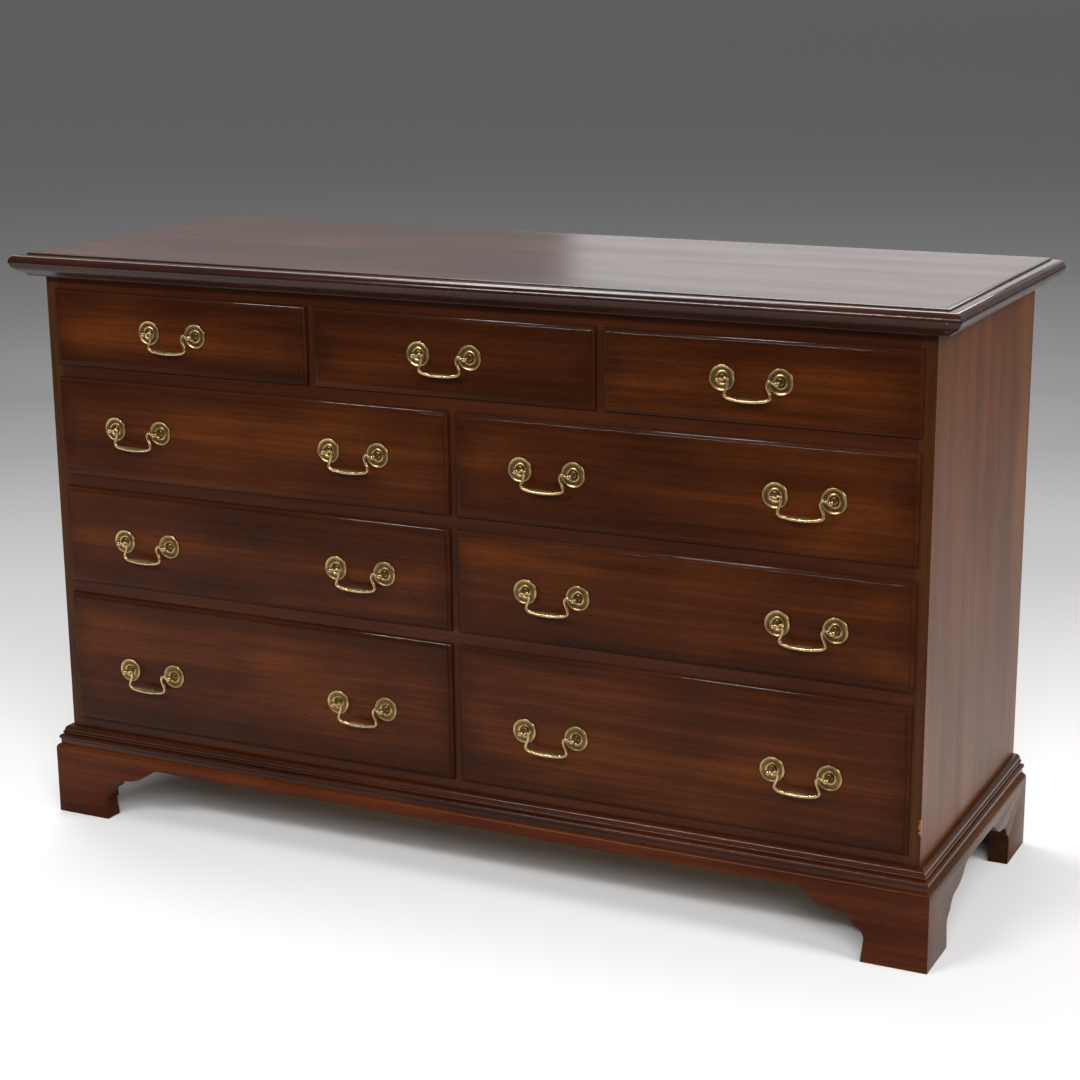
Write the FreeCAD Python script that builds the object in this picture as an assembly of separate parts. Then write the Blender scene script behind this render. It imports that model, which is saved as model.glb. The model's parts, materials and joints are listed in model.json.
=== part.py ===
"""Long chest of nine drawers on bracket feet, with swan-neck bail pulls.

Millimetres. +X runs to the right of someone who faces the chest, -Y is the front and +Z is up.
The origin is on the floor, at the middle of the chest's width and depth.
"""
import FreeCAD, Part
import math
import os

# Case
CASE_WIDTH = 1300.0
CASE_DEPTH = 457.0
SIDE_THICKNESS = 20.0
DIVIDER_THICKNESS = 20.0
RAIL_THICKNESS = 27.0
RAIL_DEPTH = 60.0
TOP_RAIL_HEIGHT = 33.2
BOTTOM_RAIL_HEIGHT = 45.5
BACK_THICKNESS = 6.0
BACK_REBATE = 10.0
BACK_RAIL_DEPTH = 40.0
RUNNER_WIDTH = 22.0
DUST_PANEL_THICKNESS = 6.0
DUST_PANEL_LIFT = 10.0
GROOVE_DEPTH = 6.0

# Top
TOP_THICKNESS = 22.8
TOP_OVERHANG = 37.0
TOP_BACK_OVERHANG = 14.0
TOP_EDGE_WIDTH = 20.0
TOP_FILLET = 2.2
BED_HEIGHT = 9.2
BED_OUT = 18.0
BED_COVE_HEIGHT = 3.2
BED_COVE_WIDTH = 6.0

# Base
PLINTH_HEIGHT = 106.5
PLINTH_THICKNESS = 28.0
PLINTH_OFFSET = 20.0
PLINTH_ROUNDING = 7.5
APRON_HEIGHT = 18.5
BRACKET_LENGTH = 178.0
FOOT_WIDTH = 88.0
REAR_BRACKET_THICKNESS = 20.0
REAR_FOOT_WIDTH = 70.0
REAR_BRACKET_LENGTH = 150.0
CORNER_BLOCK_SIZE = 34.0
CORNER_BLOCK_LIFT = 12.0
MOULDING_HEIGHT = 26.5
OVOLO_RADIUS = 7.0
OVOLO_OUT = 10.2
QUIRK_HEIGHT = 0.9
SMALL_BEAD_RADIUS = 2.1
BEAD_RADIUS = 3.6
BEAD_OUT = 13.0
BEAD_LIFT = 9.5
BEAD_FOOT = 1.5

# Drawers
BOTTOM_OPENING_HEIGHT = 185.0
THIRD_OPENING_HEIGHT = 132.5
SECOND_OPENING_HEIGHT = 132.5
TOP_OPENING_HEIGHT = 99.0
LIP_OVERLAP = 5.0
LIP_PROUD = 7.0
LIP_RADIUS = 5.3
LIP_STEP = 1.2
FRONT_PLUG = 15.0
BOX_SIDE_THICKNESS = 12.0
BOX_BACK_THICKNESS = 12.0
BOX_BOTTOM_THICKNESS = 6.0
BOX_BOTTOM_LIFT = 9.0
BOX_GROOVE = 6.0
BOX_TOP_DROP = 6.0
BOX_BACK_DROP = 6.0
BOX_REAR_SPACE = 12.0

# Pulls
POST_SPACING = 76.2
WIDE_PULL_OFFSET = 175.5
PULL_RISES = (-9.0, -1.0, 3.5, 2.5)
PULL_SHIFTS = (-1.6, 1.5, -4.4, -7.4)
ROSETTE_RADIUS = 17.0
ROSETTE_RIM = 2.2
ROSETTE_RIM_WIDTH = 1.2
ROSETTE_FLOOR = 1.0
BOSS_RADIUS = 8.0
BOSS_HEIGHT = 2.0
BOSS_BEVEL = 1.6
PIVOT_STANDOFF = 14.5
POST_HEAD_RADIUS = 4.3
POST_NECK_RADIUS = 2.7
BOLT_RADIUS = 2.0
BOLT_END = 2.0
NUT_RADIUS = 5.2
NUT_THICKNESS = 3.5
BAIL_RADIUS = 1.9
BAIL_SWELL = 3.3
BAIL_TIP = 3.0
BAIL_SHOULDER = 5.6
BAIL_HUMP = 10.4
BAIL_HUMP_RISE = 6.2
BAIL_THROAT = 12.7
BAIL_THROAT_DROP = 4.5
BAIL_ELBOW = 5.5
BAIL_ELBOW_DROP = 19.5
BAIL_BAR_HALF = 15.0
BAIL_DROP = 24.2
HUMP_BEND = 2.6
THROAT_BEND = 6.0
ELBOW_BEND = 6.0
BAR_BEND = 18.0

# Back screws
SCREW_RADIUS = 1.75
SCREW_LENGTH = 18.0
SCREW_HEAD_RADIUS = 4.0
SCREW_HEAD_HEIGHT = 2.0
SCREW_MARGIN = 60.0
SCREWS_PER_SIDE = 4

# Clearances
SEAT_GAP = 0.3
RUNNING_GAP = 0.3
FRONT_CLEARANCE = 1.5
PIN_CLEARANCE = 0.08
BOLT_CLEARANCE = 0.1

# The rows of drawers from the floor up, and the planes that the pieces share
OPENING_HEIGHTS = (BOTTOM_OPENING_HEIGHT, THIRD_OPENING_HEIGHT, SECOND_OPENING_HEIGHT, TOP_OPENING_HEIGHT)
FRONT = -(CASE_DEPTH + TOP_BACK_OVERHANG - TOP_OVERHANG) / 2
BACK = FRONT + CASE_DEPTH
HALF = CASE_WIDTH / 2
INNER_HALF = HALF - SIDE_THICKNESS
RAIL_BACK = FRONT + RAIL_DEPTH
BACK_PANEL_FACE = BACK - BACK_THICKNESS
BACK_RAIL_FACE = BACK_PANEL_FACE - BACK_RAIL_DEPTH
DIVIDER_HALF = DIVIDER_THICKNESS / 2
FIELD = FRONT - LIP_PROUD
LIP_BACK = FRONT - SEAT_GAP
PLUG_BACK = FRONT + FRONT_PLUG
BOX_REAR = BACK_PANEL_FACE - BOX_REAR_SPACE
APRON_BOTTOM = PLINTH_HEIGHT - APRON_HEIGHT
ROW_NAMES = ("bottom", "third", "second", "top")
ROW_COUNT = len(OPENING_HEIGHTS)
TOP_ROW = ROW_COUNT - 1


def row_floor(row):
    """Height of the floor of a row's openings, rows counted from the bottom."""
    below = PLINTH_HEIGHT + BOTTOM_RAIL_HEIGHT
    return below + sum(OPENING_HEIGHTS[:row]) + row * RAIL_THICKNESS


def row_ceiling(row):
    return row_floor(row) + OPENING_HEIGHTS[row]


CASE_TOP = row_ceiling(TOP_ROW) + TOP_RAIL_HEIGHT
TOP_SURFACE = CASE_TOP + TOP_THICKNESS
SMALL_OPENING = (2 * INNER_HALF - 2 * DIVIDER_THICKNESS) / 3
SMALL_DIVIDER_X = SMALL_OPENING / 2 + DIVIDER_HALF
REACH = CASE_WIDTH + CASE_DEPTH


def divider_places(row):
    """Where the upright dividers of a row stand, from left to right."""
    if row == TOP_ROW:
        return (-SMALL_DIVIDER_X, SMALL_DIVIDER_X)
    return (0.0,)


def openings_of(row):
    """The (left, right) limits of a row's openings."""
    lefts = [-INNER_HALF] + [x + DIVIDER_HALF for x in divider_places(row)]
    rights = [x - DIVIDER_HALF for x in divider_places(row)] + [INNER_HALF]
    return list(zip(lefts, rights))


# ---------------------------------------------------------------- helpers

def vector(x, y, z):
    return FreeCAD.Vector(x, y, z)


def box(x, y, z):
    """A box from three (low, high) pairs."""
    corner = vector(x[0], y[0], z[0])
    return Part.makeBox(x[1] - x[0], y[1] - y[0], z[1] - z[0], corner)


def face(points, to_space):
    """A flat face from (a, b, via) corners, where via is a point on the arc that leads to the corner."""
    edges = []
    for index, (a, b, via) in enumerate(points):
        before = points[index - 1]
        start = to_space(before[0], before[1])
        end = to_space(a, b)
        if via:
            edges.append(Part.Arc(start, to_space(via[0], via[1]), end).toShape())
        else:
            edges.append(Part.makeLine(start, end))
    return Part.Face(Part.Wire(edges))


def backwards(corners):
    """The same outline walked the other way, without its first leg's curve."""
    turned = []
    via = None
    for a, b, next_via in reversed(corners):
        turned.append((a, b, via))
        via = next_via
    return turned


def shifted(steps, origin, sign):
    """Moulding steps (out, level, via) placed outwards from an origin in the direction of sign."""
    placed = []
    for out, level, via in steps:
        moved = (origin + sign * via[0], via[1]) if via else None
        placed.append((origin + sign * out, level, moved))
    return placed


def moulded_block(steps, back_out=0.0):
    """A block around the case whose front and ends follow moulding steps, straight at the back."""
    straight = [(back_out, steps[0][1], None), (back_out, steps[-1][1], None)]
    ends = shifted(steps, HALF, 1) + backwards(shifted(steps, -HALF, -1))
    sides = shifted(straight, BACK, 1) + backwards(shifted(steps, FRONT, -1))
    across = face(ends, lambda a, b: vector(a, -REACH, b))
    along = face(sides, lambda a, b: vector(-REACH, a, b))
    return across.extrude(vector(0, 2 * REACH, 0)).common(along.extrude(vector(2 * REACH, 0, 0)))


def mitred(block, inset=0.0):
    """The front, left and right strips of a block, mitred, from inset inside the case's faces outwards."""
    x = HALF - inset
    y = FRONT + inset
    far_x = x + REACH
    far_y = y - REACH
    plans = (
        ((-x, y), (-far_x, far_y), (far_x, far_y), (x, y)),
        ((-x, y), (-far_x, far_y), (-far_x, BACK), (-x, BACK)),
        ((x, y), (far_x, far_y), (far_x, BACK), (x, BACK)),
    )
    strips = []
    for plan in plans:
        flat = face([(a, b, None) for a, b in plan], lambda a, b: vector(a, b, 0.0))
        strips.append(block.common(flat.extrude(vector(0, 0, TOP_SURFACE))).Solids[0])
    return strips


def turned(profile, x, z):
    """A solid turned about a line along Y; profile corners are (radius, distance in front of the field)."""
    flat = face(profile, lambda a, b: vector(x + a, FIELD - b, z))
    return flat.revolve(vector(x, 0, z), vector(0, 1, 0), 360).Solids[0]


# ---------------------------------------------------------------- top, mouldings and plinth

def top_board():
    """The top, whose edge is a half-round nose below a narrow step down from the field."""
    shelf = TOP_SURFACE - TOP_FILLET
    nose_radius = (shelf - CASE_TOP) / 2
    field = TOP_OVERHANG - TOP_EDGE_WIDTH
    steps = [
        (TOP_OVERHANG - nose_radius, CASE_TOP, None),
        (TOP_OVERHANG - nose_radius, shelf, (TOP_OVERHANG, CASE_TOP + nose_radius)),
        (field, shelf, None),
        (field, TOP_SURFACE, None),
    ]
    return moulded_block(steps, TOP_BACK_OVERHANG)


def bed_moulding_strips():
    """The strips under the top's overhang: a flat face with a small cove above it."""
    cove_foot = CASE_TOP - BED_COVE_HEIGHT
    via = (BED_OUT + BED_COVE_WIDTH * 0.3, cove_foot + BED_COVE_HEIGHT * 0.66)
    steps = [
        (BED_OUT, CASE_TOP - BED_HEIGHT, None),
        (BED_OUT, cove_foot, None),
        (BED_OUT + BED_COVE_WIDTH, CASE_TOP, via),
    ]
    return mitred(moulded_block(steps))


def base_moulding_strips():
    """The strips on the plinth: a large bead, a small one above it and an ovolo up to the case."""
    low = PLINTH_HEIGHT
    top = low + MOULDING_HEIGHT
    bead = low + BEAD_LIFT
    small_bead = top - OVOLO_RADIUS - QUIRK_HEIGHT - SMALL_BEAD_RADIUS
    slack = OVOLO_RADIUS * (1 - math.sqrt(0.5))
    steps = [
        (BEAD_OUT + BEAD_FOOT, low, None),
        (BEAD_OUT + BEAD_FOOT, bead - BEAD_RADIUS, None),
        (BEAD_OUT, bead + BEAD_RADIUS, (BEAD_OUT + BEAD_RADIUS, bead)),
        (OVOLO_OUT, bead + BEAD_RADIUS, None),
        (OVOLO_OUT, small_bead - SMALL_BEAD_RADIUS, None),
        (OVOLO_OUT, small_bead + SMALL_BEAD_RADIUS, (OVOLO_OUT + SMALL_BEAD_RADIUS, small_bead)),
        (OVOLO_OUT, top - OVOLO_RADIUS, None),
        (OVOLO_OUT - OVOLO_RADIUS, top, (OVOLO_OUT - slack, top - slack)),
    ]
    return mitred(moulded_block(steps))


def bracket_outline(corner, inward):
    """A bracket's scrolled edge, from the foot's inner toe up to the apron."""
    stretch = (BRACKET_LENGTH - FOOT_WIDTH) / 90.0
    rise = APRON_BOTTOM / 88.0
    scroll = (
        (0.0, 0.0, None),
        (-3.5, 29.0, None),
        (10.0, 47.0, (0.0, 41.3)),
        (31.0, 64.5, (17.7, 58.6)),
        (69.0, 76.0, (52.5, 67.8)),
        (90.0, 88.0, (80.0, 84.6)),
    )
    outline = []
    for a, b, via in scroll:
        moved = (corner + inward * (FOOT_WIDTH + via[0] * stretch), via[1] * rise) if via else None
        outline.append((corner + inward * (FOOT_WIDTH + a * stretch), b * rise, moved))
    return outline


def plinth_boards():
    """Front, left and right boards with scrolled bracket feet and a rounded upper edge."""
    slack = PLINTH_ROUNDING * (1 - math.sqrt(0.5))
    steps = [
        (PLINTH_OFFSET, 0.0, None),
        (PLINTH_OFFSET, PLINTH_HEIGHT - PLINTH_ROUNDING, None),
        (PLINTH_OFFSET - PLINTH_ROUNDING, PLINTH_HEIGHT, (PLINTH_OFFSET - slack, PLINTH_HEIGHT - slack)),
    ]
    inset = PLINTH_THICKNESS - PLINTH_OFFSET
    outer_x = HALF + PLINTH_OFFSET
    outer_y = FRONT - PLINTH_OFFSET
    front_arch = bracket_outline(-outer_x, 1) + backwards(bracket_outline(outer_x, -1))
    side_arch = bracket_outline(outer_y, 1) + backwards(bracket_outline(BACK, -1))
    across = face(front_arch, lambda a, b: vector(a, outer_y, b)).extrude(vector(0, PLINTH_THICKNESS, 0))
    along = face(side_arch, lambda a, b: vector(-outer_x, a, b)).extrude(vector(2 * outer_x, 0, 0))
    hollow = box((inset - HALF, HALF - inset), (FRONT + inset, BACK), (0.0, PLINTH_HEIGHT))
    front, left, right = mitred(moulded_block(steps).cut(hollow), inset)
    return [front.cut(across), left.cut(along), right.cut(along)]


def rear_brackets():
    """Two plain sloped brackets between the side boards at the back."""
    outer = HALF - (PLINTH_THICKNESS - PLINTH_OFFSET)
    inner_face = BACK - REAR_BRACKET_THICKNESS
    brackets = []
    for side in (-1, 1):
        outline = [
            (side * outer, 0.0, None),
            (side * (outer - REAR_FOOT_WIDTH), 0.0, None),
            (side * (outer - REAR_BRACKET_LENGTH), PLINTH_HEIGHT, None),
            (side * outer, PLINTH_HEIGHT, None),
        ]
        flat = face(outline, lambda a, b: vector(a, inner_face, b))
        brackets.append(flat.extrude(vector(0, REAR_BRACKET_THICKNESS, 0)))
    return brackets


def corner_blocks():
    """Square blocks glued into the corners behind the feet, clear of the floor."""
    inset = PLINTH_THICKNESS - PLINTH_OFFSET
    outer = HALF - inset
    inner = outer - CORNER_BLOCK_SIZE
    front = (FRONT + inset, FRONT + inset + CORNER_BLOCK_SIZE)
    back = (BACK - REAR_BRACKET_THICKNESS - CORNER_BLOCK_SIZE, BACK - REAR_BRACKET_THICKNESS)
    height = (CORNER_BLOCK_LIFT, PLINTH_HEIGHT)
    return [box(x, y, height) for x in ((-outer, -inner), (inner, outer)) for y in (front, back)]


# ---------------------------------------------------------------- case

def front_rails():
    """The rails between the sides, from the bottom one to the one under the top."""
    across = (-INNER_HALF, INNER_HALF)
    deep = (FRONT, RAIL_BACK)
    rails = [box(across, deep, (PLINTH_HEIGHT, row_floor(0)))]
    for row in range(1, ROW_COUNT):
        rails.append(box(across, deep, (row_ceiling(row - 1), row_floor(row))))
    rails.append(box(across, deep, (row_ceiling(TOP_ROW), CASE_TOP)))
    return rails


def dividers(row):
    """The short uprights between a row's drawers, at the front."""
    height = (row_floor(row), row_ceiling(row))
    return [box((x - DIVIDER_HALF, x + DIVIDER_HALF), (FRONT, RAIL_BACK), height)
            for x in divider_places(row)]


def partitions(row):
    """The boards behind a row's dividers."""
    high = CASE_TOP if row == TOP_ROW else row_ceiling(row)
    return [box((x - DIVIDER_HALF, x + DIVIDER_HALF), (RAIL_BACK, BACK_RAIL_FACE), (row_floor(row), high))
            for x in divider_places(row)]


def back_rail(top):
    return box((-INNER_HALF, INNER_HALF), (BACK_RAIL_FACE, BACK_PANEL_FACE), (top - RAIL_THICKNESS, top))


def runners(row):
    """The boards that a row's drawer sides slide on, level with the front rail."""
    spans = [(-INNER_HALF, RUNNER_WIDTH - INNER_HALF), (INNER_HALF - RUNNER_WIDTH, INNER_HALF)]
    reach = DIVIDER_HALF + RUNNER_WIDTH
    spans += [(x - reach, x + reach) for x in divider_places(row)]
    height = (row_floor(row) - RAIL_THICKNESS, row_floor(row))
    return [box(span, (RAIL_BACK, BACK_RAIL_FACE), height) for span in spans]


def dust_panels(row):
    """Thin panels in the grooves of the rails and runners, one under each drawer."""
    inward = RUNNER_WIDTH - GROOVE_DEPTH
    low = row_floor(row) - RAIL_THICKNESS + DUST_PANEL_LIFT
    deep = (RAIL_BACK - GROOVE_DEPTH, BACK_RAIL_FACE + GROOVE_DEPTH)
    return [box((left + inward, right - inward), deep, (low, low + DUST_PANEL_THICKNESS))
            for left, right in openings_of(row)]


def back_screws():
    """Pan-head screws that hold the back panel in the sides' rebates."""
    x = INNER_HALF + BACK_REBATE / 2
    low = PLINTH_HEIGHT + SCREW_MARGIN
    step = (CASE_TOP - SCREW_MARGIN - low) / (SCREWS_PER_SIDE - 1)
    screws = []
    for side in (-1, 1):
        for index in range(SCREWS_PER_SIDE):
            z = low + index * step
            shank = Part.makeCylinder(SCREW_RADIUS, SCREW_LENGTH, vector(side * x, BACK - SCREW_LENGTH, z),
                                      vector(0, 1, 0))
            head = Part.makeCylinder(SCREW_HEAD_RADIUS, SCREW_HEAD_HEIGHT, vector(side * x, BACK, z),
                                     vector(0, 1, 0))
            screws.append(shank.fuse(head).removeSplitter().Solids[0])
    return screws


def case_nodes():
    """Every fixed piece of the case, by node name."""
    rows = range(ROW_COUNT)
    panels = [panel for row in rows for panel in dust_panels(row)]
    screws = back_screws()
    grooves = Part.Compound(panels)
    holes = Part.Compound(screws)
    side_height = (PLINTH_HEIGHT, CASE_TOP)
    back_half = INNER_HALF + BACK_REBATE
    back_panel = box((-back_half, back_half), (BACK_PANEL_FACE, BACK), side_height)
    left_side = box((-HALF, -INNER_HALF), (FRONT, BACK), side_height).cut(back_panel).cut(holes)
    right_side = box((INNER_HALF, HALF), (FRONT, BACK), side_height).cut(back_panel).cut(holes)
    plinth_front, plinth_left, plinth_right = plinth_boards()
    rails = [rail.cut(grooves) for rail in front_rails()]
    ties = [back_rail(row_floor(row)).cut(grooves) for row in rows] + [back_rail(CASE_TOP)]
    return {
        "top_board": [top_board()],
        "top_cove": bed_moulding_strips(),
        "side_panel_left": [left_side],
        "side_panel_right": [right_side],
        "back_panel": [back_panel.cut(holes)],
        "back_screws": screws,
        "bottom_rail": rails[:1],
        "middle_rails": rails[1:-1],
        "top_rail": rails[-1:],
        "drawer_dividers": [piece for row in rows for piece in dividers(row)],
        "partitions": [piece for row in rows for piece in partitions(row)],
        "back_rails": ties,
        "drawer_runners": [piece.cut(grooves) for row in rows for piece in runners(row)],
        "dust_panels": panels,
        "base_moulding": base_moulding_strips(),
        "plinth_front": [plinth_front],
        "plinth_sides": [plinth_left, plinth_right],
        "foot_supports": rear_brackets() + corner_blocks(),
    }


# ---------------------------------------------------------------- drawers

def lip_steps(near, far, sign):
    """One lip edge as (across, y) corners: a small step from the field, then a quarter round."""
    step_y = FIELD + LIP_STEP
    round_back = step_y + LIP_RADIUS
    inner = far - sign * LIP_RADIUS
    half_way = LIP_RADIUS * math.sqrt(0.5)
    return [
        (inner, FIELD, None),
        (inner, step_y, None),
        (far, round_back, (inner + sign * half_way, round_back - half_way)),
        (far, LIP_BACK, None),
        (near, LIP_BACK, None),
        (near, PLUG_BACK, None),
    ]


def drawer_front(opening, row):
    """A front with a moulded lip on all four edges and a plug that enters the opening."""
    left, right = opening
    floor = row_floor(row)
    ceiling = row_ceiling(row)
    wide = (lip_steps(right - FRONT_CLEARANCE, right + LIP_OVERLAP, 1)
            + backwards(lip_steps(left + FRONT_CLEARANCE, left - LIP_OVERLAP, -1)))
    tall = (lip_steps(ceiling - FRONT_CLEARANCE, ceiling + LIP_OVERLAP, 1)
            + backwards(lip_steps(floor + FRONT_CLEARANCE, floor - LIP_OVERLAP, -1)))
    across = face(wide, lambda a, b: vector(a, b, 0.0)).extrude(vector(0, 0, TOP_SURFACE))
    up = face(tall, lambda a, b: vector(-HALF, b, a)).extrude(vector(CASE_WIDTH, 0, 0))
    return across.common(up)


def drawer_box(opening, row):
    """Two sides, a back and a bottom let into the sides' and front's grooves."""
    left = opening[0] + FRONT_CLEARANCE
    right = opening[1] - FRONT_CLEARANCE
    inner_left = left + BOX_SIDE_THICKNESS
    inner_right = right - BOX_SIDE_THICKNESS
    low = row_floor(row) + RUNNING_GAP
    high = row_ceiling(row) - BOX_TOP_DROP
    bottom_low = low + BOX_BOTTOM_LIFT
    bottom_high = bottom_low + BOX_BOTTOM_THICKNESS
    deep = (PLUG_BACK, BOX_REAR)
    bottom = box((inner_left - BOX_GROOVE, inner_right + BOX_GROOVE), (PLUG_BACK - BOX_GROOVE, BOX_REAR),
                 (bottom_low, bottom_high))
    sides = [box(x, deep, (low, high)).cut(bottom) for x in ((left, inner_left), (inner_right, right))]
    back = box((inner_left, inner_right), (BOX_REAR - BOX_BACK_THICKNESS, BOX_REAR),
               (bottom_high, high - BOX_BACK_DROP))
    return sides + [back, bottom]


def pull_centres(opening, row):
    """Where a drawer's pulls sit: one near the middle, or one on each side of it on a wide drawer."""
    middle = (opening[0] + opening[1]) / 2 + PULL_SHIFTS[row]
    height = (row_floor(row) + row_ceiling(row)) / 2 + PULL_RISES[row]
    if row == TOP_ROW:
        return [(middle, height)]
    return [(middle - WIDE_PULL_OFFSET, height), (middle + WIDE_PULL_OFFSET, height)]


def rosette(x, z):
    """A round plate with a thin raised rim, a shallow dish and a low boss round its hole."""
    hole = BOLT_RADIUS + BOLT_CLEARANCE
    rim = ROSETTE_RADIUS - ROSETTE_RIM_WIDTH
    middle = (BOSS_RADIUS + rim) / 2
    profile = [
        (hole, 0.0, None),
        (ROSETTE_RADIUS, 0.0, None),
        (ROSETTE_RADIUS, ROSETTE_RIM / 2, None),
        (rim, ROSETTE_RIM, (ROSETTE_RADIUS - ROSETTE_RIM_WIDTH * 0.3, ROSETTE_RIM * 0.85)),
        (BOSS_RADIUS, ROSETTE_RIM * 0.7, (middle, ROSETTE_FLOOR)),
        (BOSS_RADIUS - BOSS_BEVEL, BOSS_HEIGHT, None),
        (hole, BOSS_HEIGHT, None),
    ]
    return turned(profile, x, z)


def post(x, z, shank):
    """A ball head on a neck, drilled across for the bail, with a bolt through the front."""
    neck_end = PIVOT_STANDOFF - math.sqrt(POST_HEAD_RADIUS ** 2 - POST_NECK_RADIUS ** 2)
    profile = [
        (0.0, -shank, None),
        (BOLT_RADIUS, -shank, None),
        (BOLT_RADIUS, BOSS_HEIGHT, None),
        (POST_NECK_RADIUS, BOSS_HEIGHT, None),
        (POST_NECK_RADIUS, neck_end, None),
        (0.0, PIVOT_STANDOFF + POST_HEAD_RADIUS, (POST_HEAD_RADIUS, PIVOT_STANDOFF)),
    ]
    start = vector(x - POST_HEAD_RADIUS, FIELD - PIVOT_STANDOFF, z)
    hole = Part.makeCylinder(BAIL_RADIUS + PIN_CLEARANCE, 2 * POST_HEAD_RADIUS, start, vector(1, 0, 0))
    return turned(profile, x, z).cut(hole)


def nut(x, z):
    """A round nut on the back of the front, tight on the bolt."""
    back = FIELD - PLUG_BACK
    profile = [
        (BOLT_RADIUS, back, None),
        (NUT_RADIUS, back, None),
        (NUT_RADIUS, back - NUT_THICKNESS, None),
        (BOLT_RADIUS, back - NUT_THICKNESS, None),
    ]
    return turned(profile, x, z)


def fittings(centres):
    """The rosettes, posts and nuts of a drawer's pulls."""
    shank = PLUG_BACK - FIELD + NUT_THICKNESS + BOLT_END
    pieces = []
    for x, z in centres:
        for side in (-1, 1):
            across = x + side * POST_SPACING / 2
            pieces += [rosette(across, z), post(across, z, shank), nut(across, z)]
    return pieces


def bolt_holes(centres):
    """What has to be drilled out of a drawer front for the bolts."""
    deep = PLUG_BACK - FIELD
    return Part.Compound([
        Part.makeCylinder(BOLT_RADIUS + BOLT_CLEARANCE, deep, vector(x + side * POST_SPACING / 2, FIELD, z),
                          vector(0, 1, 0))
        for x, z in centres for side in (-1, 1)])


def rounded_path(corners):
    """A wire through (x, z, bend radius) corners at the bails' pivot plane, with round bends."""
    points = [vector(x, 0, z) for x, z, bend in corners]
    edges = []
    start = points[0]
    for index in range(1, len(points) - 1):
        corner = points[index]
        back = (points[index - 1] - corner).normalize()
        ahead = (points[index + 1] - corner).normalize()
        half_angle = back.getAngle(ahead) / 2
        bend = corners[index][2]
        setback = bend / math.tan(half_angle)
        middle = (back + ahead).normalize() * (bend / math.sin(half_angle) - bend)
        edges.append(Part.makeLine(start, corner + back * setback))
        edges.append(Part.Arc(corner + back * setback, corner + middle, corner + ahead * setback).toShape())
        start = corner + ahead * setback
    edges.append(Part.makeLine(start, points[-1]))
    return Part.Wire(edges)


def bail(x, z):
    """A swan-neck bail that hangs from its two pins, thicker in the middle of its grip."""
    pin = POST_SPACING / 2
    half = [
        (pin + BAIL_TIP, 0.0, 0.0),
        (pin - BAIL_SHOULDER, 0.0, HUMP_BEND),
        (pin - BAIL_HUMP, BAIL_HUMP_RISE, HUMP_BEND),
        (pin - BAIL_THROAT, -BAIL_THROAT_DROP, THROAT_BEND),
        (pin - BAIL_ELBOW, -BAIL_ELBOW_DROP, ELBOW_BEND),
        (BAIL_BAR_HALF, -BAIL_DROP, BAR_BEND),
    ]
    other_half = [(-a, b, bend) for a, b, bend in reversed(half)]
    path = rounded_path(half + other_half)
    start = Part.Wire(Part.makeCircle(BAIL_RADIUS, vector(pin + BAIL_TIP, 0, 0), vector(1, 0, 0)))
    wire = path.makePipeShell([start], True, False)
    grip = face([
        (-BAIL_BAR_HALF, 0.0, None),
        (-BAIL_BAR_HALF, BAIL_RADIUS, None),
        (BAIL_BAR_HALF, BAIL_RADIUS, (0.0, BAIL_SWELL)),
        (BAIL_BAR_HALF, 0.0, None),
    ], lambda a, b: vector(a, 0, b - BAIL_DROP))
    swell = grip.revolve(vector(0, 0, -BAIL_DROP), vector(1, 0, 0), 360)
    whole = wire.fuse(swell).Solids[0]
    whole.translate(vector(x, FIELD - PIVOT_STANDOFF, z))
    return whole


def drawer_names(row):
    """The names of a row's drawers, from left to right."""
    places = ("left", "middle", "right") if row == TOP_ROW else ("left", "right")
    return [ROW_NAMES[row] + "_" + place for place in places]


def drawer_nodes():
    """Every piece of the drawers, by node name."""
    nodes = {}
    for row in range(ROW_COUNT):
        for name, opening in zip(drawer_names(row), openings_of(row)):
            centres = pull_centres(opening, row)
            panels = drawer_box(opening, row)
            front = drawer_front(opening, row).cut(panels[-1]).cut(bolt_holes(centres))
            nodes["drawer_" + name + "_front"] = [front]
            nodes["drawer_" + name + "_box"] = panels
            nodes["drawer_" + name + "_fittings"] = fittings(centres)
            endings = ("",) if len(centres) == 1 else ("_1", "_2")
            for (x, z), ending in zip(centres, endings):
                nodes["bail_" + name + ending] = [bail(x, z)]
    return nodes


# ---------------------------------------------------------------- export

os.makedirs("parts", exist_ok=True)
ALL_NODES = {**case_nodes(), **drawer_nodes()}
for node_name, solids in ALL_NODES.items():
    shape = Part.Compound(solids) if len(solids) > 1 else solids[0]
    shape.exportStep("parts/" + node_name + ".step")
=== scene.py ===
"""Looks of a long mahogany chest of nine drawers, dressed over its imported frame."""

import json
import math

import bmesh
import bpy
from mathutils import Matrix, Vector

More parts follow.
